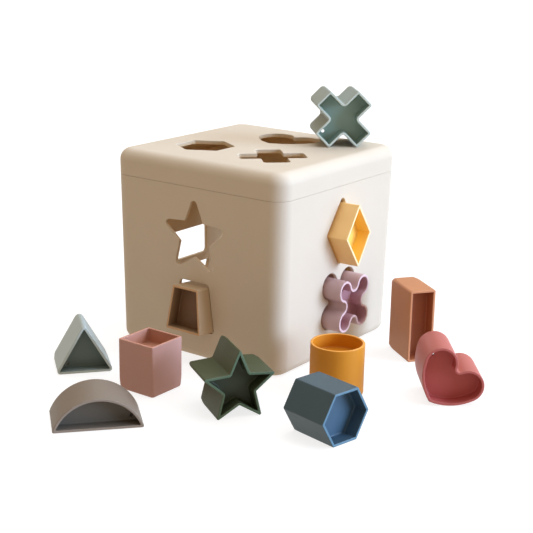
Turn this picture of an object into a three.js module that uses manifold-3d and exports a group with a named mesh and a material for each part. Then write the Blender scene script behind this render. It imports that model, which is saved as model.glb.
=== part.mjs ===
// Shape sorter: a square tub with a lift-off lid, and twelve hollow shapes that pass through its holes.
// Millimetres, +Z up. The origin is the centre of the tub's underside; the star hole faces -Y.

import * as THREE from "three";
import { mergeVertices } from "three/addons/utils/BufferGeometryUtils.js";
import Module from "manifold-3d";

const wasm = await Module();
wasm.setup();

// ---- Driving dimensions ----

// Tub and lid
const BOX_WIDTH = 140; // across the flats of the lid's top, before the draft
const BOX_HEIGHT = 134;
const BOX_DRAFT = 0.015; // inward lean of every wall, per side, per unit of depth below the top
const BOX_CORNER_RADIUS = 12;
const LID_FILLET = 8;
const TUB_FILLET = 6;
const SEAM_HEIGHT = 116.5;
const SEAM_GAP = 0.3;
const TUB_WALL = 2.6;
const FLOOR_THICKNESS = 2.8;
const LID_WALL = 3.4;
const LID_THICKNESS = 2.8;
const LOCATING_RIM_THICKNESS = 1.8;
const LOCATING_RIM_DEPTH = 6;
const LOCATING_RIM_ROOT = 4; // how far the rim runs up inside the lid
const LOCATING_RIM_CLEARANCE = 0.4;

// Every loose shape is a moulded tube with a web across it, open at both ends
const SHAPE_LENGTH = 33;
const SHAPE_WALL = 1.6;
const SHAPE_CORNER_RADIUS = 1.5;
const SHAPE_EDGE = 0.5;
const RECESS_DEPTH = 9; // from the front rim down to the web
const WEB_THICKNESS = 2;
const VENT_RADIUS = 1.2;
const HOLE_CLEARANCE = 1.7; // per side, around each shape in its hole
const HOLE_CUT_DEPTH = 10; // from the widest part of a wall inwards, past its thickness and its lean
const CUT_OVERRUN = 1; // how far a cutter runs past the surface that it opens

// Outlines of the loose shapes
const CROSS_SPAN = 41;
const CROSS_ARM_WIDTH = 14;
const RHOMBUS_WIDTH = 30;
const RHOMBUS_HEIGHT = 43;
const CLOVER_LOBE_OFFSET = 10.5;
const CLOVER_LOBE_RADIUS = 7.2;
const CLOVER_NOTCH = 9.7; // from the centre to the bottom of each notch
const TRAPEZOID_TOP = 21;
const TRAPEZOID_BASE = 29;
const TRAPEZOID_HEIGHT = 30;
const TRIANGLE_SIDE = 38;
const HALF_ROUND_WIDTH = 53.5;
const HALF_ROUND_HEIGHT = 19.4;
const SQUARE_SIDE = 28;
const STAR_TIP_RADIUS = 24.5;
const STAR_INNER_RADIUS = 11;
const CYLINDER_DIAMETER = 34;
const HEXAGON_FLATS = 32;
const RECTANGLE_WIDTH = 18;
const RECTANGLE_HEIGHT = 49.5;
const HEART_LOBE_RADIUS = 10.3;
const HEART_LOBE_OFFSET = 11.1;
const HEART_NOTCH_RADIUS = 1.9;
const HEART_POINT_DROP = 22.7; // from the line of the lobe centres down to the point
const HEART_FLANK_RADIUS = 33.3;

// Where the holes are, as seen from outside each wall: across, then up from the tub's underside
const STAR_HOLE = [0, 83];
const TRAPEZOID_HOLE = [0, 36.5];
const RHOMBUS_HOLE = [0, 85.5];
const CLOVER_HOLE = [0, 39];
const RECTANGLE_HOLE = [0, 53];
const HALF_ROUND_HOLE = [0, 34.5]; // the flat side, which faces up
const CIRCLE_HOLE = [26, 84];
const TRIANGLE_HOLE = [-26, 60];
const SQUARE_HOLE = [30, 40];
const HEXAGON_HOLE = [-28.4, -22.5];
const CROSS_HOLE = [27.6, -22];
const HEART_HOLE = [-0.4, 37.5]; // the line of the lobe centres

// Directions in plan
const FRONT = -Math.PI / 2;
const RIGHT = 0;
const BACK = Math.PI / 2;
const LEFT = Math.PI;

// Fineness of curves
const CORNER_STEPS = 3;
const ARC_STEP = Math.PI / 14;
const FILLET_STEPS = 4;
const VENT_SIDES = 12;

// The largest share of a side that one rounded corner takes
const CORNER_SHARE = 0.45;
const MERGE_DISTANCE = 1e-4;

// Finish
const CREAM = 0xe6dac8;
const BOX_ROUGHNESS = 0.62;
const SHAPE_ROUGHNESS = 0.5;

// ---- Outlines ----
// An outline is a list of points, anticlockwise. A point marked corner is rounded off later; the others lie
// on a curve.

function corners(list) {
  return list.map(([x, y]) => ({ x, y, corner: true }));
}

function arc(centreX, centreY, radius, from, to) {
  const steps = Math.max(2, Math.ceil(Math.abs(to - from) / ARC_STEP));
  return Array.from({ length: steps + 1 }, (_, i) => {
    const angle = from + ((to - from) * i) / steps;
    return { x: centreX + radius * Math.cos(angle), y: centreY + radius * Math.sin(angle) };
  });
}

function ring(count, radii, start) {
  return corners(
    Array.from({ length: count }, (_, i) => {
      const angle = start + (2 * Math.PI * i) / count;
      const radius = radii[i % radii.length];
      return [radius * Math.cos(angle), radius * Math.sin(angle)];
    }),
  );
}

function rectangle(width, height) {
  const [x, y] = [width / 2, height / 2];
  return corners([[-x, -y], [x, -y], [x, y], [-x, y]]);
}

function cross() {
  const [tip, side] = [CROSS_SPAN / 2, CROSS_ARM_WIDTH / 2];
  const arm = [[side, -side], [tip, -side], [tip, side]];
  const turned = (quarter) =>
    arm.map(([x, y]) => {
      const angle = Math.PI / 4 + (quarter * Math.PI) / 2;
      return [x * Math.cos(angle) - y * Math.sin(angle), x * Math.sin(angle) + y * Math.cos(angle)];
    });
  return corners([0, 1, 2, 3].flatMap(turned));
}

function clover() {
  // The notch arcs touch the lobe arcs, which fixes their radius.
  const reach = CLOVER_NOTCH - CLOVER_LOBE_OFFSET;
  const notchRadius =
    (reach ** 2 + CLOVER_LOBE_OFFSET ** 2 - CLOVER_LOBE_RADIUS ** 2) / (2 * (CLOVER_LOBE_RADIUS - reach));
  const notchCentre = CLOVER_NOTCH + notchRadius;
  const tangent = Math.atan2(CLOVER_LOBE_OFFSET, notchCentre - CLOVER_LOBE_OFFSET);
  const points = [];
  for (let quarter = 0; quarter < 4; quarter += 1) {
    const turn = (quarter * Math.PI) / 2;
    const notchX = notchCentre * Math.cos(turn);
    const notchY = notchCentre * Math.sin(turn);
    points.push(...arc(notchX, notchY, notchRadius, turn + Math.PI + tangent, turn + Math.PI - tangent));
    const lobeX = CLOVER_LOBE_OFFSET * (Math.cos(turn) - Math.sin(turn));
    const lobeY = CLOVER_LOBE_OFFSET * (Math.sin(turn) + Math.cos(turn));
    const lobe = arc(lobeX, lobeY, CLOVER_LOBE_RADIUS, turn - tangent, turn + Math.PI / 2 + tangent);
    points.push(...lobe.slice(1, -1));
  }
  return points;
}

function halfRound() {
  const [halfWidth, height] = [HALF_ROUND_WIDTH / 2, HALF_ROUND_HEIGHT];
  const radius = (halfWidth ** 2 + height ** 2) / (2 * height);
  const centreY = height - radius;
  const end = Math.atan2(-centreY, halfWidth);
  const curve = arc(0, centreY, radius, end, Math.PI - end).slice(1, -1);
  return [...corners([[-halfWidth, 0], [halfWidth, 0]]), ...curve];
}

function heart() {
  // Each flank is an arc that touches its lobe from outside and ends at the point.
  const pointGap = Math.hypot(HEART_LOBE_OFFSET, HEART_POINT_DROP);
  const flankGap = HEART_FLANK_RADIUS - HEART_LOBE_RADIUS;
  const angleAtLobe = Math.acos(
    (pointGap ** 2 + flankGap ** 2 - HEART_FLANK_RADIUS ** 2) / (2 * pointGap * flankGap),
  );
  const toFlankCentre = Math.atan2(-HEART_POINT_DROP, -HEART_LOBE_OFFSET) - angleAtLobe;
  const flankX = HEART_LOBE_OFFSET + flankGap * Math.cos(toFlankCentre);
  const flankY = flankGap * Math.sin(toFlankCentre);
  const touch = toFlankCentre + Math.PI;
  const pointAngle = Math.atan2(-HEART_POINT_DROP - flankY, -flankX);
  const notchY = Math.sqrt((HEART_LOBE_RADIUS + HEART_NOTCH_RADIUS) ** 2 - HEART_LOBE_OFFSET ** 2);
  const toNotch = Math.atan2(notchY, -HEART_LOBE_OFFSET);
  const flank = arc(flankX, flankY, HEART_FLANK_RADIUS, pointAngle, touch).slice(1);
  const lobe = arc(HEART_LOBE_OFFSET, 0, HEART_LOBE_RADIUS, touch, toNotch).slice(1);
  const right = [...flank, ...lobe];
  const left = right.map(({ x, y }) => ({ x: -x, y })).reverse();
  const notch = arc(0, notchY, HEART_NOTCH_RADIUS, toNotch - Math.PI, -toNotch).slice(1, -1);
  return [...corners([[0, -HEART_POINT_DROP]]), ...right, ...notch, ...left];
}

const OUTLINES = {
  cross: cross(),
  rhombus: corners([
    [0, -RHOMBUS_HEIGHT / 2],
    [RHOMBUS_WIDTH / 2, 0],
    [0, RHOMBUS_HEIGHT / 2],
    [-RHOMBUS_WIDTH / 2, 0],
  ]),
  clover: clover(),
  trapezoid: corners([
    [-TRAPEZOID_BASE / 2, -TRAPEZOID_HEIGHT / 2],
    [TRAPEZOID_BASE / 2, -TRAPEZOID_HEIGHT / 2],
    [TRAPEZOID_TOP / 2, TRAPEZOID_HEIGHT / 2],
    [-TRAPEZOID_TOP / 2, TRAPEZOID_HEIGHT / 2],
  ]),
  triangle: ring(3, [TRIANGLE_SIDE / Math.sqrt(3)], Math.PI / 2),
  halfRound: halfRound(),
  square: rectangle(SQUARE_SIDE, SQUARE_SIDE),
  star: ring(10, [STAR_TIP_RADIUS, STAR_INNER_RADIUS], Math.PI / 2),
  circle: arc(0, 0, CYLINDER_DIAMETER / 2, 0, 2 * Math.PI).slice(1),
  hexagon: ring(6, [HEXAGON_FLATS / Math.sqrt(3)], 0),
  rectangle: rectangle(RECTANGLE_WIDTH, RECTANGLE_HEIGHT),
  heart: heart(),
};

// Moves every side of an outline outwards by the same amount (inwards if negative).
function offset(points, grow) {
  const sideNormal = (a, b) => {
    const length = Math.hypot(b.x - a.x, b.y - a.y);
    return [(b.y - a.y) / length, (a.x - b.x) / length];
  };
  return points.map((point, i) => {
    const before = sideNormal(points.at(i - 1), point);
    const after = sideNormal(point, points[(i + 1) % points.length]);
    const reach = grow / (1 + before[0] * after[0] + before[1] * after[1]);
    const x = point.x + reach * (before[0] + after[0]);
    const y = point.y + reach * (before[1] + after[1]);
    return { ...point, x, y };
  });
}

// A three.js shape of an outline, moved outwards by grow, with its corners rounded to the given radius.
// Growing makes outer corners rounder and inner corners sharper, as an even gap does.
function shapeOf(outline, grow = 0, cornerRadius = SHAPE_CORNER_RADIUS) {
  const moved = offset(outline, grow);
  const points = moved.flatMap((point, i) => {
    const vertex = new THREE.Vector2(point.x, point.y);
    if (!point.corner) return [vertex];
    const previous = moved.at(i - 1);
    const next = moved[(i + 1) % moved.length];
    const back = new THREE.Vector2(previous.x, previous.y).sub(vertex);
    const ahead = new THREE.Vector2(next.x, next.y).sub(vertex);
    const outer = back.cross(ahead) < 0;
    const radius = Math.max(SHAPE_EDGE / 2, cornerRadius + (outer ? grow : -grow));
    const halfAngle = Math.acos(back.dot(ahead) / (back.length() * ahead.length())) / 2;
    const longest = CORNER_SHARE * Math.min(back.length(), ahead.length());
    const setback = Math.min(radius / Math.tan(halfAngle), longest);
    const start = vertex.clone().addScaledVector(back.normalize(), setback);
    const end = vertex.clone().addScaledVector(ahead.normalize(), setback);
    return new THREE.QuadraticBezierCurve(start, vertex, end).getPoints(CORNER_STEPS);
  });
  return new THREE.Shape(points);
}

function extrude(shape, from, to, bevel = 0, bevelSteps = 1) {
  const geometry = new THREE.ExtrudeGeometry(shape, {
    depth: to - from - 2 * bevel,
    bevelEnabled: bevel > 0,
    bevelThickness: bevel,
    bevelSize: bevel,
    bevelOffset: -bevel,
    bevelSegments: bevelSteps,
  });
  return geometry.translate(0, 0, from + bevel);
}

// ---- Solids ----

function toSolid(geometry) {
  const plain = geometry.clone();
  plain.deleteAttribute("normal");
  plain.deleteAttribute("uv");
  const merged = mergeVertices(plain, MERGE_DISTANCE);
  return new wasm.Manifold(
    new wasm.Mesh({
      numProp: 3,
      vertProperties: new Float32Array(merged.attributes.position.array),
      triVerts: new Uint32Array(merged.index.array),
    }),
  );
}

function toGeometry(solid) {
  const mesh = solid.getMesh();
  const geometry = new THREE.BufferGeometry();
  geometry.setAttribute("position", new THREE.BufferAttribute(mesh.vertProperties, 3));
  geometry.setIndex(new THREE.BufferAttribute(mesh.triVerts, 1));
  return geometry;
}

function cutAll(solid, geometries) {
  return geometries.reduce((left, geometry) => left.subtract(toSolid(geometry)), solid);
}

// Turns an object so that its +Z looks along a heading in plan, raised by pitch, and its +Y is upright.
function face(object, heading, pitch = 0, roll = 0) {
  const direction = new THREE.Vector3(Math.cos(heading), Math.sin(heading), Math.tan(pitch));
  object.up.set(0, 0, 1);
  object.lookAt(direction.add(object.position));
  object.rotateZ(roll);
}

// ---- Tub and lid ----

function squareShape(inset) {
  return shapeOf(rectangle(BOX_WIDTH, BOX_WIDTH), -inset, BOX_CORNER_RADIUS);
}

function taper(geometry) {
  const position = geometry.attributes.position;
  for (let i = 0; i < position.count; i += 1) {
    const scale = 1 - (2 * BOX_DRAFT * (BOX_HEIGHT - position.getZ(i))) / BOX_WIDTH;
    position.setX(i, position.getX(i) * scale);
    position.setY(i, position.getY(i) * scale);
  }
  return geometry;
}

function holeCutter(outline, [across, up], heading, roll = 0) {
  const shape = shapeOf(outline, HOLE_CLEARANCE);
  const surface = BOX_WIDTH / 2;
  const cutter = new THREE.Mesh(extrude(shape, surface - HOLE_CUT_DEPTH, surface + CUT_OVERRUN));
  const sideways = new THREE.Vector3(-Math.sin(heading), Math.cos(heading), 0).multiplyScalar(across);
  cutter.position.copy(sideways).setZ(up);
  face(cutter, heading, 0, roll);
  cutter.updateMatrixWorld();
  return cutter.geometry.applyMatrix4(cutter.matrixWorld);
}

function lidHole(outline, [x, y], roll = 0) {
  const shape = shapeOf(outline, HOLE_CLEARANCE);
  return extrude(shape, SEAM_HEIGHT, BOX_HEIGHT + CUT_OVERRUN).rotateZ(roll).translate(x, y, 0);
}

function boxBody() {
  const outside = toSolid(taper(extrude(squareShape(0), 0, BOX_HEIGHT, TUB_FILLET, FILLET_STEPS)));
  const top = BOX_HEIGHT + TUB_FILLET;
  const above = extrude(squareShape(-CUT_OVERRUN), SEAM_HEIGHT, top);
  const innerFillet = TUB_FILLET - TUB_WALL;
  const inside = taper(extrude(squareShape(TUB_WALL), FLOOR_THICKNESS, top, innerFillet, FILLET_STEPS));
  return cutAll(outside, [
    above,
    inside,
    holeCutter(OUTLINES.star, STAR_HOLE, FRONT),
    holeCutter(OUTLINES.trapezoid, TRAPEZOID_HOLE, FRONT),
    holeCutter(OUTLINES.rhombus, RHOMBUS_HOLE, RIGHT),
    holeCutter(OUTLINES.clover, CLOVER_HOLE, RIGHT),
    holeCutter(OUTLINES.circle, CIRCLE_HOLE, BACK),
    holeCutter(OUTLINES.triangle, TRIANGLE_HOLE, BACK),
    holeCutter(OUTLINES.square, SQUARE_HOLE, BACK),
    holeCutter(OUTLINES.rectangle, RECTANGLE_HOLE, LEFT, Math.PI / 2),
    holeCutter(OUTLINES.halfRound, HALF_ROUND_HOLE, LEFT, Math.PI),
  ]);
}

function lid() {
  const outside = toSolid(taper(extrude(squareShape(0), 0, BOX_HEIGHT, LID_FILLET, FILLET_STEPS)));
  const below = extrude(squareShape(-CUT_OVERRUN), -CUT_OVERRUN, SEAM_HEIGHT + SEAM_GAP);
  const ceiling = BOX_HEIGHT - LID_THICKNESS;
  const hollow = taper(extrude(squareShape(LID_WALL), 0, ceiling, LID_FILLET - LID_WALL, FILLET_STEPS));
  const rimInset = TUB_WALL + LOCATING_RIM_CLEARANCE;
  const rimBottom = SEAM_HEIGHT - LOCATING_RIM_DEPTH;
  const rimTop = SEAM_HEIGHT + LOCATING_RIM_ROOT;
  const rimOuter = toSolid(taper(extrude(squareShape(rimInset), rimBottom, rimTop)));
  const rimInside = squareShape(rimInset + LOCATING_RIM_THICKNESS);
  const rimInner = taper(extrude(rimInside, rimBottom - CUT_OVERRUN, rimTop + CUT_OVERRUN));
  const shell = cutAll(outside, [below, hollow]).add(cutAll(rimOuter, [rimInner]));
  return cutAll(shell, [
    lidHole(OUTLINES.hexagon, HEXAGON_HOLE, Math.PI / 2),
    lidHole(OUTLINES.cross, CROSS_HOLE),
    lidHole(OUTLINES.heart, HEART_HOLE),
  ]);
}

// ---- Loose shapes ----

// The front rim lies in z = 0 and looks along +Z. vent is where the air hole goes through the web.
function looseShape(outline, vent) {
  const outside = toSolid(extrude(shapeOf(outline), -SHAPE_LENGTH, 0, SHAPE_EDGE));
  const bore = shapeOf(outline, -SHAPE_WALL);
  const airHole = new THREE.CylinderGeometry(VENT_RADIUS, VENT_RADIUS, SHAPE_LENGTH, VENT_SIDES);
  return cutAll(outside, [
    extrude(bore, -RECESS_DEPTH, CUT_OVERRUN),
    extrude(bore, -SHAPE_LENGTH - CUT_OVERRUN, -RECESS_DEPTH - WEB_THICKNESS),
    airHole.rotateX(Math.PI / 2).translate(...vent, 0),
  ]);
}

function restOn(object, level) {
  object.updateMatrixWorld();
  object.position.z += level - new THREE.Box3().setFromObject(object, true).min.z;
}

// at is the middle of the front rim. A shape with a level stands on that level; its hole holds any other.
const LOOSE_SHAPES = [
  {
    name: "cross_shape", outline: OUTLINES.cross, vent: [-12.5, -9.5], color: 0x87998a,
    at: [46.5, 33.7, BOX_HEIGHT], heading: -0.82, level: BOX_HEIGHT + SEAM_GAP,
  },
  {
    name: "rhombus_shape", outline: OUTLINES.rhombus, vent: [-10, 0], color: 0xe9b76a,
    at: [83.2, 0, 84.6], heading: RIGHT, pitch: 0.02,
  },
  {
    name: "clover_shape", outline: OUTLINES.clover, vent: [10.7, 12], color: 0xc3a0b4,
    at: [81.5, 0, 37.7], heading: RIGHT,
  },
  {
    name: "trapezoid_shape", outline: OUTLINES.trapezoid, vent: [-2.7, 11.3], color: 0x9c7d5c,
    at: [1.4, -80.9, 37.2], heading: FRONT, pitch: 0.09,
  },
  {
    name: "triangle_shape", outline: OUTLINES.triangle, vent: [-10.6, -7], color: 0xa9b5ac,
    at: [-36.5, -134.5, 0], heading: -0.69, level: 0,
  },
  {
    name: "half_round_shape", outline: OUTLINES.halfRound, vent: [20.2, 4.4], color: 0x8b8073,
    at: [33.4, -195.1, 0], heading: -0.72, level: 0,
  },
  {
    name: "square_shape", outline: OUTLINES.square, vent: [9.5, -9.5], color: 0xd3a29b,
    at: [12.2, -126, 0], upright: true, level: 0,
  },
  {
    name: "star_shape", outline: OUTLINES.star, vent: [0, 15], color: 0x46543f,
    at: [85.1, -129.6, 0], heading: -0.57, level: 0,
  },
  {
    name: "cylinder_shape", outline: OUTLINES.circle, vent: [11, 0], color: 0xdb9b32,
    at: [107.5, -59.6, 0], upright: true, level: 0,
  },
  {
    name: "hexagon_shape", outline: OUTLINES.hexagon, vent: [-13, 0], color: 0x506b87,
    at: [154.2, -121.5, 0], heading: -0.21, level: 0,
  },
  {
    name: "rectangle_shape", outline: OUTLINES.rectangle, vent: [5, -21], color: 0xc27d59,
    at: [121.4, 21.4, 0], heading: -0.63, level: 0,
  },
  {
    name: "heart_shape", outline: OUTLINES.heart, vent: [-17.2, 0.3], color: 0xc16361,
    at: [175.8, -33.9, 0], heading: -0.91, roll: -0.71, level: 0,
  },
];

const group = new THREE.Group();

function addPart(name, geometry, color, roughness) {
  const material = new THREE.MeshStandardMaterial({ color, roughness, metalness: 0 });
  const mesh = new THREE.Mesh(geometry, material);
  mesh.name = name;
  group.add(mesh);
  return mesh;
}

addPart("box_body", toGeometry(boxBody()), CREAM, BOX_ROUGHNESS);
addPart("lid", toGeometry(lid()), CREAM, BOX_ROUGHNESS);
for (const { name, outline, vent, color, at, heading, pitch, roll, upright, level } of LOOSE_SHAPES) {
  const mesh = addPart(name, toGeometry(looseShape(outline, vent)), color, SHAPE_ROUGHNESS);
  mesh.position.set(...at);
  if (!upright) face(mesh, heading, pitch, roll);
  if (level !== undefined) restOn(mesh, level);
}

export default group;
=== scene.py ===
"""Shape sorter: the looks of a cream tub with a lift-off lid, and of the twelve shapes for it."""

import math

import bmesh
import bpy
from mathutils import Matrix, Vector
from mathutils.geometry import tessellate_polygon


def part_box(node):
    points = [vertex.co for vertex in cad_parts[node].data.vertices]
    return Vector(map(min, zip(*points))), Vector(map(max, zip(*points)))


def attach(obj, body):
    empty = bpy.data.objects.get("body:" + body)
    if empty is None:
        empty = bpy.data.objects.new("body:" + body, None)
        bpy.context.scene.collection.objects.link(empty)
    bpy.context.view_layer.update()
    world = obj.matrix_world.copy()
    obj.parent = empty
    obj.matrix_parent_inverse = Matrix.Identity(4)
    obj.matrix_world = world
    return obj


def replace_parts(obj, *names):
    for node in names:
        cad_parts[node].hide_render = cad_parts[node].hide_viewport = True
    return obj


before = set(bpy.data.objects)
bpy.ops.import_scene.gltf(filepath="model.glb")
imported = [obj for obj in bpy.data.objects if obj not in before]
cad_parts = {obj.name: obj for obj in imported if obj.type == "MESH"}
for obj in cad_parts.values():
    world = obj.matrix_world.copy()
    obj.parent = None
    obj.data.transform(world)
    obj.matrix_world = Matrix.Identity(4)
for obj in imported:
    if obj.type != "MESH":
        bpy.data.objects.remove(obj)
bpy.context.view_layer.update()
MM = 0.001  # lengths below are in millimetres, unless a name or comment says otherwise

# ---- Tub and lid ----
BOX_WIDTH = 140
BOX_HEIGHT = 134
BOX_DRAFT = 0.015  # how much each wall leans out, per unit of height
BOX_CORNER = 12
LID_FILLET = 8
TUB_FILLET = 6
SEAM = 116.5
SEAM_GAP = 0.12
LIP_EDGE = 0.18  # radius of both lips at the seam
TUB_WALL = 2.6
TUB_FLOOR = 2.8
LID_WALL = 3.4
LID_TOP = 2.8
RIM_OUTER = 3.0
RIM_INNER = 4.8
RIM_BOTTOM = 110.5
RIM_ROOT = 120.5
RIM_BEVEL = 0.4
HOLE_CLEARANCE = 1.7
HOLE_CORNER = 0.9
HOLE_EDGE = 0.45
HOLE_INNER_EDGE = 0.3
LEAST_CORNER = 0.25
BOX_CORNER_STEPS = 14
FILLET_STEPS = 8
EDGE_STEPS = 4

# ---- Loose shapes ----
LENGTH = 33
WALL = 1.6
NOSE_START = 24  # how far behind the rim the corners begin to get rounder
NOSE_STEPS = 6
NOSE_DEPTH = 1.8  # the rear fillet: its length along the shape, and how far in it goes
NOSE_INSET = 1.2
REAR_EDGE = 0.2
HOLLOW_EDGE_PAINTED_SHADING = 0.5  # how far a hollow has taken its inside tone, painted shade (painted glow in the amber), at its edge
RIM_EDGE = 0.45
RIM_INNER_EDGE = 0.3
RECESS = 9
WEB = 2
WEB_FILLET = 0.9
VENT = 1.2
CORNER_STEPS = 7
CORNER_SHARE = 0.45  # the most of a side that one round corner takes
ARC_STEP = math.radians(6)
VENT_STEPS = 24
VENT_EDGE = 0.2
CAD_EDGE = 0.5  # edge and corner radius of the CAD shapes
CAD_CORNER = 1.1


# ---- Outlines: lists of (x, y, is a corner), anticlockwise ----
def corners(points):
    return [(x, y, True) for x, y in points]


def arc(x, y, radius, start, end):
    steps = max(2, math.ceil(abs(end - start) / ARC_STEP))
    angles = [start + (end - start) * i / steps for i in range(steps + 1)]
    return [(x + radius * math.cos(a), y + radius * math.sin(a), False) for a in angles]


def ring_of(count, radii, start):
    points = []
    for i in range(count):
        angle, radius = start + math.tau * i / count, radii[i % len(radii)]
        points.append((radius * math.cos(angle), radius * math.sin(angle)))
    return corners(points)


def rectangle(width, height):
    x, y = width / 2, height / 2
    return corners([(-x, -y), (x, -y), (x, y), (-x, y)])


def cross(span, arm):
    tip, side = span / 2, arm / 2
    points = []
    for quarter in range(4):
        turn = Matrix.Rotation(math.pi / 4 + quarter * math.pi / 2, 2)
        points += [tuple(turn @ Vector(p)) for p in ((side, -side), (tip, -side), (tip, side))]
    return corners(points)


def clover(offset, radius, notch):
    reach = notch - offset
    notch_radius = (reach**2 + offset**2 - radius**2) / (2 * (radius - reach))
    centre = notch + notch_radius
    tangent = math.atan2(offset, centre - offset)
    points = []
    for quarter in range(4):
        turn = quarter * math.pi / 2
        c, s = math.cos(turn), math.sin(turn)
        inwards = turn + math.pi
        points += arc(centre * c, centre * s, notch_radius, inwards + tangent, inwards - tangent)
        x, y = offset * (c - s), offset * (s + c)
        points += arc(x, y, radius, turn - tangent, turn + math.pi / 2 + tangent)[1:-1]
    return points


def half_round(width, height):
    half = width / 2
    radius = (half**2 + height**2) / (2 * height)
    y = height - radius
    end = math.atan2(-y, half)
    return corners([(-half, 0), (half, 0)]) + arc(0, y, radius, end, math.pi - end)[1:-1]


def heart(lobe_radius, offset, notch_radius, drop, flank_radius):
    gap, reach = math.hypot(offset, drop), flank_radius - lobe_radius
    at_lobe = math.acos((gap**2 + reach**2 - flank_radius**2) / (2 * gap * reach))
    turn = math.atan2(-drop, -offset) - at_lobe
    x, y = offset + reach * math.cos(turn), reach * math.sin(turn)
    touch = turn + math.pi
    point = math.atan2(-drop - y, -x)
    notch_y = math.sqrt((lobe_radius + notch_radius) ** 2 - offset**2)
    to_notch = math.atan2(notch_y, -offset)
    right = arc(x, y, flank_radius, point, touch)[1:]
    right += arc(offset, 0, lobe_radius, touch, to_notch)[1:]
    left = [(-px, py, False) for px, py, _ in reversed(right)]
    notch = arc(0, notch_y, notch_radius, to_notch - math.pi, -to_notch)[1:-1]
    return corners([(0, -drop)]) + right + notch + left


OUTLINES = {
    "cross": cross(41, 14),
    "rhombus": corners([(0, -21.5), (15, 0), (0, 21.5), (-15, 0)]),
    "clover": clover(10.5, 7.2, 9.7),
    "trapezoid": corners([(-14.5, -15), (14.5, -15), (10.5, 15), (-10.5, 15)]),
    "triangle": ring_of(3, [38 / math.sqrt(3)], math.pi / 2),
    "half_round": half_round(53.5, 19.4),
    "square": rectangle(28, 28),
    "star": ring_of(10, [24.5, 11], math.pi / 2),
    "cylinder": arc(0, 0, 17, 0, math.tau)[1:],
    "hexagon": ring_of(6, [32 / math.sqrt(3)], 0),
    "rectangle": rectangle(18, 49.5),
    "heart": heart(10.3, 11.1, 1.9, 22.7, 33.3),
}


def loop(outline, grow, corner):
    """The outline moved outwards by grow, with round corners.

    Every loop of one outline has the same number of points, so any two can be bridged.
    """
    count = len(outline)
    flat = [Vector((x, y)) for x, y, _ in outline]
    moved = []
    for i, point in enumerate(flat):
        before = (point - flat[i - 1]).normalized()
        after = (flat[(i + 1) % count] - point).normalized()
        a, b = Vector((before.y, -before.x)), Vector((after.y, -after.x))
        moved.append(point + (a + b) * (grow / (1 + a.dot(b))))
    points = []
    for i, vertex in enumerate(moved):
        if not outline[i][2]:
            points.append(vertex)
            continue
        back, ahead = moved[i - 1] - vertex, moved[(i + 1) % count] - vertex
        outer = back.cross(ahead) < 0
        radius = max(LEAST_CORNER, corner + (grow if outer else -grow))
        half = back.angle(ahead) / 2
        longest = CORNER_SHARE * min(back.length, ahead.length)
        setback = min(radius / math.tan(half), longest)
        back.normalize()
        ahead.normalize()
        centre = vertex + (back + ahead).normalized() * (setback / math.cos(half))
        start, end = vertex + back * setback - centre, vertex + ahead * setback - centre
        reach = start.length
        for step in range(CORNER_STEPS + 1):
            outward = start.normalized().slerp(end.normalized(), step / CORNER_STEPS)
            points.append(centre + outward * reach)
    return points


def quarter(steps):
    """Points (1 - cos, sin) of a quarter circle from (0, 0) to (1, 1)."""
    angles = [math.pi / 2 * i / steps for i in range(steps + 1)]
    return [(1 - math.cos(a), math.sin(a)) for a in angles]


# ---- Mesh helpers ----
def start_mesh():
    """Each point says from 0 to 1 how far it takes the rim tone, a painted highlight, and the
    inside tone, painted recess shade, for the material.
    """
    bm = bmesh.new()
    bm.verts.layers.float.new("rim")
    bm.verts.layers.float.new("inside")
    return bm


def add_ring(bm, points, rim=0.0, inside=0.0):
    rim_layer, inside_layer = bm.verts.layers.float["rim"], bm.verts.layers.float["inside"]
    ring = []
    for point in points:
        vert = bm.verts.new(Vector(point) * MM)
        vert[rim_layer], vert[inside_layer] = rim, inside
        ring.append(vert)
    return ring


def bridge(bm, a, b, sides=None):
    """Quads between two closed rings; sides picks which of them."""
    count = len(a)
    for i in sides if sides is not None else range(count):
        j = (i + 1) % count
        bm.faces.new((a[i], a[j], b[j], b[i]))


def fill(bm, boundary, holes, flatten):
    """Triangles over a flat face with holes. flatten gives a point's place in the face's plane."""
    rings = [boundary, *holes]
    verts = [v for ring in rings for v in ring]
    for triangle in tessellate_polygon([[flatten(v.co) for v in ring] for ring in rings]):
        bm.faces.new([verts[i] for i in triangle])


def in_plan(point):
    return Vector((point.x, point.y, 0))


def finish_mesh(bm, name, body, material):
    bmesh.ops.recalc_face_normals(bm, faces=bm.faces)
    for face in bm.faces:
        face.smooth = True
    mesh = bpy.data.meshes.new(name)
    bm.to_mesh(mesh)
    bm.free()
    mesh.materials.append(material)
    piece = bpy.data.objects.new(name, mesh)
    bpy.context.scene.collection.objects.link(piece)
    weighted = piece.modifiers.new("flat_faces", "WEIGHTED_NORMAL")
    weighted.weight = 100
    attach(piece, body)
    return piece


# ---- Materials ----
def linear(code):
    """A hex colour as linear RGBA."""
    parts = [int(code[i : i + 2], 16) / 255 for i in (0, 2, 4)]
    return [p / 12.92 if p <= 0.04045 else ((p + 0.055) / 1.055) ** 2.4 for p in parts] + [1]


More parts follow.
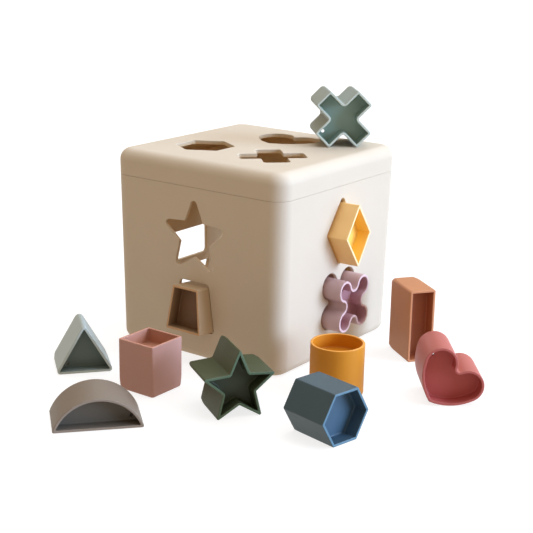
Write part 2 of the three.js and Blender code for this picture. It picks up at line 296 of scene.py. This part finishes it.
# Noise textures: scale per metre of the object, and detail.
CLOUD = (38, 3)
GRAIN = (1500, 2)
PEEL = (260, 2)
WEAR_PATCHES = (420, 3)
SCUFF = (1, 4)
SCUFF_TURN = (0.4, 0.9, 0.3)
SCUFF_STRETCH = (60, 900, 400)
NOISE_SPREAD = (0.3, 0.7)  # nearly all of a noise lies between these
WEAR_SPREAD = (0.4, 0.65)
SCUFF_SPREAD = (0.58, 0.75)
EDGE_RADIUS = 0.7
EDGE_TURN = (0.995, 0.86)  # cosine of the turn across an edge where the paling (rubbing and painted highlight) begins, and is full
LEAST_WEAR = 0.15
# The light grey that small edges pale towards, partly as rubbing and partly as a painted
# highlight.
WORN_AND_HIGHLIGHT = (0.75, 0.75, 0.75, 1)
WORN_AND_HIGHLIGHT_SHARE = 0.12
ROUGHNESS_SPREAD = 0.04
WORN_ROUGHNESS = 0.12
SCUFFED_ROUGHNESS = 0.12
GRAIN_SHARE = 0.35  # of the bump's height; the rest is orange peel
BUMP_STRENGTH = 0.25
BUMP_DEPTH = 0.08


def plastic(name, colours, roughness, specular, cloudy):
    """Moulded plastic with cloudy pigment, a fine grain and scuffs; its own tone outside, a
    painted highlight tone on the rim and a painted shade tone inside, and small edges paled by
    rubbing and by a painted highlight.
    """
    outside, rim, inside = [linear(code) for code in colours]
    material = bpy.data.materials.new(name)
    material.use_nodes = True
    tree = material.node_tree
    shader = tree.nodes["Principled BSDF"]
    shader.inputs["Specular IOR Level"].default_value = specular

    def feed(socket, value):
        if isinstance(value, bpy.types.NodeSocket):
            tree.links.new(value, socket)
        else:
            socket.default_value = value

    def node(kind, **inputs):
        """A new node; i0, i1 and so on are inputs by number, the others by name."""
        made = tree.nodes.new(kind)
        for key, value in inputs.items():
            numbered = key[0] == "i" and key[1:].isdigit()
            feed(made.inputs[int(key[1:]) if numbered else key.replace("_", " ")], value)
        return made

    def maths(operation, a, b):
        made = node("ShaderNodeMath", i0=a, i1=b)
        made.operation = operation
        return made.outputs[0]

    def layer(attribute):
        made = tree.nodes.new("ShaderNodeAttribute")
        made.attribute_name = attribute
        return made.outputs["Fac"]

    def noise(vector, scale, detail):
        made = node("ShaderNodeTexNoise", Vector=vector, Scale=scale, Detail=detail)
        return made.outputs["Fac"]

    def remap(value, spread, to_low, to_high):
        low, high = spread
        made = node("ShaderNodeMapRange", Value=value, From_Min=low, From_Max=high)
        made.inputs["To Min"].default_value = to_low
        made.inputs["To Max"].default_value = to_high
        return made.outputs["Result"]

    def blend(factor, a, b):
        made = tree.nodes.new("ShaderNodeMix")
        made.data_type = "RGBA"
        feed(made.inputs["Factor"], factor)
        feed(made.inputs[6], a)
        feed(made.inputs[7], b)
        return made.outputs[2]

    place = node("ShaderNodeTexCoord").outputs["Object"]
    cloud = noise(place, *CLOUD)
    stretched = node("ShaderNodeMapping", Vector=place, Rotation=SCUFF_TURN, Scale=SCUFF_STRETCH)
    scuff = noise(stretched.outputs["Vector"], *SCUFF)

    # The rim tone is a painted highlight; the inside tone is painted recess shade (for the amber,
    # painted glow; for the cream, painted warm bounce light).
    tone_with_painted_light = blend(layer("rim"), blend(layer("inside"), outside, inside), rim)
    cloudiness = remap(cloud, NOISE_SPREAD, 1 - cloudy, 1 + cloudy)
    clouded = node("ShaderNodeVectorMath", i0=tone_with_painted_light, i3=cloudiness)
    clouded.operation = "SCALE"

    rounded = node("ShaderNodeBevel", Radius=EDGE_RADIUS * MM).outputs["Normal"]
    surface = node("ShaderNodeNewGeometry").outputs["Normal"]
    facing = node("ShaderNodeVectorMath", i0=rounded, i1=surface)
    facing.operation = "DOT_PRODUCT"
    edge = remap(facing.outputs["Value"], EDGE_TURN, 0, 1)
    patches = remap(noise(place, *WEAR_PATCHES), WEAR_SPREAD, LEAST_WEAR, 1)
    # Small edges pale towards a light grey in patches: partly rubbing, partly a painted highlight.
    wear_and_highlight = maths("MULTIPLY", edge, patches)
    worn_and_highlit = blend(maths("MULTIPLY", wear_and_highlight, WORN_AND_HIGHLIGHT_SHARE), clouded.outputs["Vector"], WORN_AND_HIGHLIGHT)
    feed(shader.inputs["Base Color"], worn_and_highlit)

    rough = remap(cloud, NOISE_SPREAD, roughness - ROUGHNESS_SPREAD, roughness + ROUGHNESS_SPREAD)
    rough = maths("ADD", rough, maths("MULTIPLY", wear_and_highlight, WORN_ROUGHNESS))
    rough = maths("ADD", rough, remap(scuff, SCUFF_SPREAD, 0, SCUFFED_ROUGHNESS))
    feed(shader.inputs["Roughness"], rough)

    grain = maths("MULTIPLY", noise(place, *GRAIN), GRAIN_SHARE)
    peel = maths("MULTIPLY", noise(place, *PEEL), 1 - GRAIN_SHARE)
    height = maths("ADD", grain, peel)
    bump = node("ShaderNodeBump", Height=height, Strength=BUMP_STRENGTH, Distance=BUMP_DEPTH * MM)
    feed(shader.inputs["Normal"], bump.outputs["Normal"])
    return material


COLOURS = {  # outside; rim, a painted highlight; inside, painted recess shade, except painted glow for the amber and painted warm bounce light for the cream
    "cream": ("d4c9b9", "d4c9b9", "e6cba2"),
    "sage_teal": ("a4b3b2", "c6d5d1", "8aa6a0"),
    "amber": ("fdd28e", "fde3b6", "ffd66c"),
    "lilac": ("c4a9b1", "dcc2ca", "bb8f9b"),
    "tan": ("c4ad8f", "cda67d", "7f6145"),
    "pale_sage": ("b0bfc1", "b9cacc", "6f8383"),
    "taupe": ("82776c", "90857c", "63605a"),
    "dusty_pink": ("be928a", "cf9884", "bc8770"),
    "forest": ("48523a", "4f6853", "333d2b"),
    "mustard": ("da901f", "e9a647", "cd8410"),
    "slate_blue": ("425762", "557d97", "3a5973"),
    "terracotta": ("c0855e", "d8966f", "a76143"),
    "rose": ("b5665f", "bf6564", "bf5d5d"),
}
TUB_FINISH = (0.6, 0.35, 0.012)  # roughness, specular level, cloudiness
SHAPE_FINISH = (0.5, 0.4, 0.035)
MATERIALS = {
    slot: plastic(slot, codes, *(TUB_FINISH if slot == "cream" else SHAPE_FINISH))
    for slot, codes in COLOURS.items()
}


# ---- Tub and lid ----
def half_width(z):
    return BOX_WIDTH / 2 - BOX_DRAFT * (BOX_HEIGHT - z)


def square_ring(bm, inset, z, inside=0.0):
    side = half_width(z) - inset
    radius = BOX_CORNER - inset
    points = []
    for turn in range(4):
        for step in range(BOX_CORNER_STEPS + 1):
            angle = math.pi / 2 * (turn + step / BOX_CORNER_STEPS)
            middle = math.pi / 2 * turn + math.pi / 4
            x = math.copysign(side - radius, math.cos(middle)) + radius * math.cos(angle)
            y = math.copysign(side - radius, math.sin(middle)) + radius * math.sin(angle)
            points.append((x, y, z))
    return add_ring(bm, points, inside=inside)


def through_hole(bm, outline, thickness, roll, place):
    """The sides of a hole. Returns its ring on the outer face and its ring on the inner face."""
    turn = Matrix.Rotation(roll, 2)
    profile = [(HOLE_EDGE * (1 - d), HOLE_EDGE * g) for g, d in quarter(EDGE_STEPS)]
    for g, d in reversed(quarter(EDGE_STEPS)):
        profile.append((HOLE_INNER_EDGE * (1 - d), thickness - HOLE_INNER_EDGE * g))
    rings = []
    for grow, depth in profile:
        points = [turn @ p for p in loop(outline, HOLE_CLEARANCE + grow, HOLE_CORNER)]
        # Deeper into the hole the inside tone, painted warm bounce light, takes over.
        rings.append(add_ring(bm, [place(p, depth) for p in points], inside=depth / thickness))
    for a, b in zip(rings, rings[1:]):
        bridge(bm, a, b)
    return rings[0], rings[-1]


# For each wall, in the order of a square ring's sides: its heading, and its holes as
# outline, across (to the right, seen from outside), up and roll.
WALL_HOLES = [
    (math.pi / 2, [("cylinder", 26, 84, 0), ("triangle", -26, 60, 0), ("square", 30, 40, 0)]),
    (math.pi, [("rectangle", 0, 53, math.pi / 2), ("half_round", 0, 34.5, math.pi)]),
    (-math.pi / 2, [("star", 0, 83, 0), ("trapezoid", 0, 36.5, 0)]),
    (0, [("rhombus", 0, 85.5, 0), ("clover", 0, 39, 0)]),
]
LID_HOLES = [  # outline, x, y and roll
    ("hexagon", -28.4, -22.5, math.pi / 2),
    ("cross", 27.6, -22, 0),
    ("heart", -0.4, 37.5, 0),
]


def wall_with_holes(bm, lower, upper, holes, which, flatten):
    corner_points = BOX_CORNER_STEPS + 1
    first = (which + 1) * corner_points % len(lower)
    last = (which + 1) * corner_points - 1
    boundary = [lower[last], lower[first], upper[first], upper[last]]
    fill(bm, boundary, holes, flatten)


def tub():
    bm = start_mesh()
    inner_fillet = TUB_FILLET - TUB_WALL
    lip = [(LIP_EDGE * g, SEAM - LIP_EDGE * (1 - d)) for g, d in quarter(EDGE_STEPS)]
    outside, edge, inside = [], [], []
    for g, d in quarter(FILLET_STEPS):
        outside.append(square_ring(bm, TUB_FILLET * (1 - d), TUB_FILLET * g))
    for inset, z in lip:
        edge.append(square_ring(bm, inset, z))
    # The inner lip, walls and floor take the inside tone: painted warm bounce light.
    for inset, z in reversed(lip):
        edge.append(square_ring(bm, TUB_WALL - inset, z, inside=1.0))
    for g, d in reversed(quarter(FILLET_STEPS)):
        inset, z = TUB_FILLET - inner_fillet * d, TUB_FLOOR + inner_fillet * g
        inside.append(square_ring(bm, inset, z, inside=1.0))
    for rings in (outside, edge, inside):
        for a, b in zip(rings, rings[1:]):
            bridge(bm, a, b)
    corner_points = BOX_CORNER_STEPS + 1
    strips = [i for i in range(4 * corner_points) if i % corner_points != BOX_CORNER_STEPS]
    bridge(bm, outside[-1], edge[0], strips)
    bridge(bm, edge[-1], inside[0], strips)
    for which, (heading, holes) in enumerate(WALL_HOLES):
        ahead = Vector((math.cos(heading), math.sin(heading), 0))
        side = Vector((-math.sin(heading), math.cos(heading), 0))
        rings = []
        for name, across, up, roll in holes:

            def place(p, depth):
                z = p.y + up
                return ahead * (half_width(z) - depth) + side * (p.x + across) + Vector((0, 0, z))

            rings.append(through_hole(bm, OUTLINES[name], TUB_WALL, roll, place))

        def flatten(co):
            return Vector((co.dot(side), co.z, 0))

        wall_with_holes(bm, outside[-1], edge[0], [r[0] for r in rings], which, flatten)
        wall_with_holes(bm, inside[0], edge[-1], [r[1] for r in rings], which, flatten)
    fill(bm, outside[0], [], in_plan)
    fill(bm, inside[-1], [], in_plan)
    return bm


def lid():
    bm = start_mesh()
    bottom = SEAM + SEAM_GAP
    inner_fillet = LID_FILLET - LID_WALL
    ceiling = BOX_HEIGHT - LID_TOP
    lip = [(LIP_EDGE * g, bottom + LIP_EDGE * (1 - d)) for g, d in reversed(quarter(EDGE_STEPS))]
    top, under = [], []
    for g, d in quarter(FILLET_STEPS):
        top.append((LID_FILLET * g, BOX_HEIGHT - LID_FILLET * (1 - d)))
        under.append((LID_FILLET - inner_fillet * (1 - g), ceiling - inner_fillet * (1 - d)))
    under.reverse()
    rim = [
        (LID_WALL, RIM_ROOT),
        (RIM_INNER - RIM_BEVEL, RIM_ROOT),
        (RIM_INNER, RIM_ROOT - RIM_BEVEL),
        (RIM_INNER, RIM_BOTTOM + RIM_BEVEL),
        (RIM_INNER - RIM_BEVEL, RIM_BOTTOM),
        (RIM_OUTER + RIM_BEVEL, RIM_BOTTOM),
        (RIM_OUTER, RIM_BOTTOM + RIM_BEVEL),
        (RIM_OUTER, bottom),
    ]
    outside = [square_ring(bm, inset, z) for inset, z in lip + top]
    # The underside and the rim take the inside tone: painted warm bounce light.
    inside = [square_ring(bm, inset, z, inside=1.0) for inset, z in under + rim]
    for rings in (outside, inside):
        for a, b in zip(rings, rings[1:]):
            bridge(bm, a, b)
    bridge(bm, inside[-1], outside[0])
    rings = []
    for name, x, y, roll in LID_HOLES:

        def place(p, depth):
            return Vector((p.x + x, p.y + y, BOX_HEIGHT - depth))

        rings.append(through_hole(bm, OUTLINES[name], LID_TOP, roll, place))
    fill(bm, outside[-1], [r[0] for r in rings], in_plan)
    fill(bm, inside[0], [r[1] for r in rings], in_plan)
    return bm


# ---- Loose shapes ----
def turned(heading, pitch=0.0, roll=0.0):
    """The rim looks along a heading in plan, raised by pitch; roll turns it about its length."""
    z = Vector((math.cos(heading), math.sin(heading), math.tan(pitch))).normalized()
    x = Vector((-math.sin(heading), math.cos(heading), 0))
    return Matrix((x, z.cross(x), z)).transposed() @ Matrix.Rotation(roll, 3, "Z")


UPRIGHT = Matrix.Identity(3)
# Name, slot, how it is turned, corner radius at the rim and at the rear, and place of its vent.
LOOSE = [
    ("cross", "sage_teal", turned(-0.82), 1.5, 3.0, (-12.5, -9.5)),
    ("rhombus", "amber", turned(0, 0.02), 1.0, 1.6, (-10, 0)),
    ("clover", "lilac", turned(0), 1.0, 1.0, (10.7, 12)),
    ("trapezoid", "tan", turned(-math.pi / 2, 0.09), 1.1, 2.8, (-2.7, 11.3)),
    ("triangle", "pale_sage", turned(-0.69), 2.0, 3.0, (-10.6, -7)),
    ("half_round", "taupe", turned(-0.72), 3.0, 3.2, (20.2, 4.4)),
    ("square", "dusty_pink", UPRIGHT, 1.1, 2.4, (9.5, -9.5)),
    ("star", "forest", turned(-0.57), 0.9, 1.5, (0, 15)),
    ("cylinder", "mustard", UPRIGHT, 1.0, 1.0, (11, 0)),
    ("hexagon", "slate_blue", turned(-0.21), 1.1, 1.5, (-13, 0)),
    ("rectangle", "terracotta", turned(-0.63), 1.4, 3.0, (5, -21)),
    ("heart", "rose", turned(-0.91, 0, -0.71), 1.1, 1.6, (-16.6, -0.1)),
]
HELD = ("rhombus", "clover", "trapezoid")  # in their holes; the others stand on something


def span(points):
    low = Vector([min(p[i] for p in points) for i in range(3)])
    high = Vector([max(p[i] for p in points) for i in range(3)])
    return low, high


def rear_corners(corner, nose):
    """(depth, corner radius) from where corners begin to get rounder, back to the rear fillet."""
    steps = []
    for i in range(NOSE_STEPS + 1):
        share = i / NOSE_STEPS
        depth = NOSE_START + (LENGTH - NOSE_DEPTH - NOSE_START) * share
        steps.append((depth, corner + (nose - corner) * share**2))
    return steps


def loose_shape(name, rotation, corner, nose, vent):
    outline = OUTLINES[name]
    bm = start_mesh()

    def ring(inset, depth, radius, rim=0.0, inside=0.0):
        points = [(p.x, p.y, -depth) for p in loop(outline, -inset, radius)]
        return add_ring(bm, points, rim, inside)

    # Outside, from the rim back to the rear edge.
    rear = rear_corners(corner, nose)
    back = []
    for g, d in reversed(quarter(EDGE_STEPS)):
        # The rim fillet takes the rim tone, a painted highlight.
        back.append(ring(RIM_EDGE * g, RIM_EDGE * (1 - d), corner, rim=g))
    back += [ring(0, depth, radius) for depth, radius in rear]
    for g, d in quarter(FILLET_STEPS)[1:]:
        back.append(ring(NOSE_INSET * g, LENGTH - NOSE_DEPTH * (1 - d), nose))
    # The rear hollow, forwards to the web.
    web_back = RECESS + WEB
    back.append(ring(WALL - REAR_EDGE, LENGTH, nose))
    # The rear hollow takes the inside tone: painted shade (painted glow in the amber).
    back.append(ring(WALL, LENGTH - REAR_EDGE, nose, inside=HOLLOW_EDGE_PAINTED_SHADING))
    back += [ring(WALL, depth, radius, inside=1.0) for depth, radius in reversed(rear)]
    for g, d in quarter(EDGE_STEPS):
        inset, depth = WALL + WEB_FILLET * g, web_back + WEB_FILLET * (1 - d)
        back.append(ring(inset, depth, corner, inside=1.0))
    # The recess, from the rim down to the web.
    front = []
    for g, d in quarter(EDGE_STEPS):
        inset, depth = WALL - RIM_INNER_EDGE * (1 - d), RIM_INNER_EDGE * g
        # The recess's edge: the rim tone (painted highlight) fading into the inside tone (painted
        # shade).
        front.append(ring(inset, depth, corner, rim=1 - g, inside=HOLLOW_EDGE_PAINTED_SHADING))
    for g, d in quarter(EDGE_STEPS):
        inset, depth = WALL + WEB_FILLET * g, RECESS - WEB_FILLET * (1 - d)
        front.append(ring(inset, depth, corner, inside=1.0))
    for rings in (back, front):
        for a, b in zip(rings, rings[1:]):
            bridge(bm, a, b)
    bridge(bm, back[0], front[0])
    # The vent through the web, which it leaves with a small flare on both sides.
    flare = VENT + VENT_EDGE
    vents = []
    for radius, depth in (
        (flare, RECESS),
        (VENT, RECESS + VENT_EDGE),
        (VENT, web_back - VENT_EDGE),
        (flare, web_back),
    ):
        points = []
        for i in range(VENT_STEPS):
            a = math.tau * i / VENT_STEPS
            points.append((vent[0] + radius * math.cos(a), vent[1] + radius * math.sin(a), -depth))
        vents.append(add_ring(bm, points, inside=1.0))
    for a, b in zip(vents, vents[1:]):
        bridge(bm, a, b)
    fill(bm, front[-1], [vents[0]], in_plan)
    fill(bm, back[-1], [vents[-1]], in_plan)

    # Set it where the CAD piece is. One that stands on something has the same lowest point too.
    plain = []
    for inset, depth in ((0, CAD_EDGE), (0, LENGTH - CAD_EDGE), (CAD_EDGE, 0), (CAD_EDGE, LENGTH)):
        for p in loop(outline, -inset, CAD_CORNER):
            plain.append(rotation @ Vector((p.x, p.y, -depth)) * MM)
    low, high = span(plain)
    cad_low, cad_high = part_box(name + "_shape")
    shift = (cad_low + cad_high - low - high) / 2
    bmesh.ops.transform(bm, matrix=Matrix.Translation(shift) @ rotation.to_4x4(), verts=bm.verts)
    if name not in HELD:
        lowest = min(v.co.z for v in bm.verts)
        bmesh.ops.translate(bm, vec=(0, 0, cad_low.z - lowest), verts=bm.verts)
    return bm


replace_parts(finish_mesh(tub(), "tub_shell", "tub", MATERIALS["cream"]), "box_body")
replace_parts(finish_mesh(lid(), "lid_shell", "lid", MATERIALS["cream"]), "lid")
for name, slot, *shape in LOOSE:
    piece = finish_mesh(loose_shape(name, *shape), name + "_block", name, MATERIALS[slot])
    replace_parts(piece, name + "_shape")

# ---- Floor, light and camera (metres) ----
FLOOR_RADIUS = 14
FLOOR_DROP = 0.02 * MM  # keeps the floor just clear of the tub's underside
BACKDROP_RADIUS = 13
BACKDROP_HEIGHT = 12
STAGE_STEPS = 96
LIGHTS = [  # name, azimuth and elevation it comes from, spread (degrees), colour, strength
    ("window", 25, 9, 40, (0.56, 0.735, 0.985), 1.74 * math.pi),
    ("overhead", 80, 68, 70, (0.86, 0.92, 0.98), 0.74 * math.pi),
]
ROOM_COLOUR = (1.0, 0.78, 0.56, 1)
ROOM_STRENGTH = 0.51
AZIMUTH = 0.6288  # from -Y towards +X
ELEVATION = 0.2838
DISTANCE = 0.80159
TILT = 0.0189
TARGET = Vector((0.04319, -0.04756, 0.066975))
SENSOR = 36  # millimetres, and the lens too
LENS = 83.6078
CLIP = (0.01, 100)


def stage_piece(name, bm, grey, roughness, specular, glow, unseen_by):
    """A plain grey surface that glows white, and that some kinds of ray don't see."""
    material = bpy.data.materials.new(name)
    material.use_nodes = True
    inputs = material.node_tree.nodes["Principled BSDF"].inputs
    inputs["Base Color"].default_value = (grey, grey, grey, 1)
    inputs["Roughness"].default_value = roughness
    inputs["Specular IOR Level"].default_value = specular
    inputs["Emission Color"].default_value = (1, 1, 1, 1)
    inputs["Emission Strength"].default_value = glow
    mesh = bpy.data.meshes.new(name)
    bm.to_mesh(mesh)
    bm.free()
    mesh.materials.append(material)
    made = bpy.data.objects.new(name, mesh)
    bpy.context.scene.collection.objects.link(made)
    for ray in unseen_by:
        setattr(made, "visible_" + ray, False)
    return made


def sun(name, azimuth, elevation, spread, colour, strength):
    """Light from that direction: azimuth is measured from +X towards +Y, in degrees."""
    light = bpy.data.lights.new(name, "SUN")
    light.color = colour
    light.energy = strength
    light.angle = math.radians(spread)
    lamp = bpy.data.objects.new(name, light)
    a, e = math.radians(azimuth), math.radians(elevation)
    source = Vector((math.cos(e) * math.cos(a), math.cos(e) * math.sin(a), math.sin(e)))
    lamp.rotation_euler = source.to_track_quat("Z", "Y").to_euler()
    bpy.context.scene.collection.objects.link(lamp)


disc = bmesh.new()
bmesh.ops.create_circle(disc, cap_ends=True, segments=STAGE_STEPS, radius=FLOOR_RADIUS)
floor = stage_piece(
    "floor", disc, grey=0.3, roughness=0.9, specular=0.1, glow=0.79, unseen_by=["diffuse"]
)
floor.location.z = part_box("box_body")[0].z - FLOOR_DROP

# A white wall far away, seen by low cameras only. It lights nothing and casts no shadow.
wall = bmesh.new()
bmesh.ops.create_cone(
    wall,
    segments=STAGE_STEPS,
    radius1=BACKDROP_RADIUS,
    radius2=BACKDROP_RADIUS,
    depth=BACKDROP_HEIGHT,
)
all_but_camera = ["diffuse", "glossy", "transmission", "shadow"]
stage_piece(
    "backdrop", wall, grey=0, roughness=0.5, specular=0, glow=1, unseen_by=all_but_camera
)

for light in LIGHTS:
    sun(*light)
room = bpy.data.worlds.new("room")
room.use_nodes = True
room.node_tree.nodes["Background"].inputs["Color"].default_value = ROOM_COLOUR
room.node_tree.nodes["Background"].inputs["Strength"].default_value = ROOM_STRENGTH
bpy.context.scene.world = room
bpy.context.scene.view_settings.view_transform = "Standard"

level = math.cos(ELEVATION)
behind = Vector((math.sin(AZIMUTH) * level, -math.cos(AZIMUTH) * level, math.sin(ELEVATION)))
right = Vector((math.cos(AZIMUTH), math.sin(AZIMUTH), 0))
aim = Matrix((right, behind.cross(right), behind)).transposed() @ Matrix.Rotation(TILT, 3, "Z")
camera_data = bpy.data.cameras.new("camera")
camera_data.sensor_width = SENSOR
camera_data.lens = LENS
camera_data.clip_start, camera_data.clip_end = CLIP
camera = bpy.data.objects.new("camera", camera_data)
camera.matrix_world = Matrix.LocRotScale(TARGET + behind * DISTANCE, aim, None)
bpy.context.scene.collection.objects.link(camera)
bpy.context.scene.camera = camera
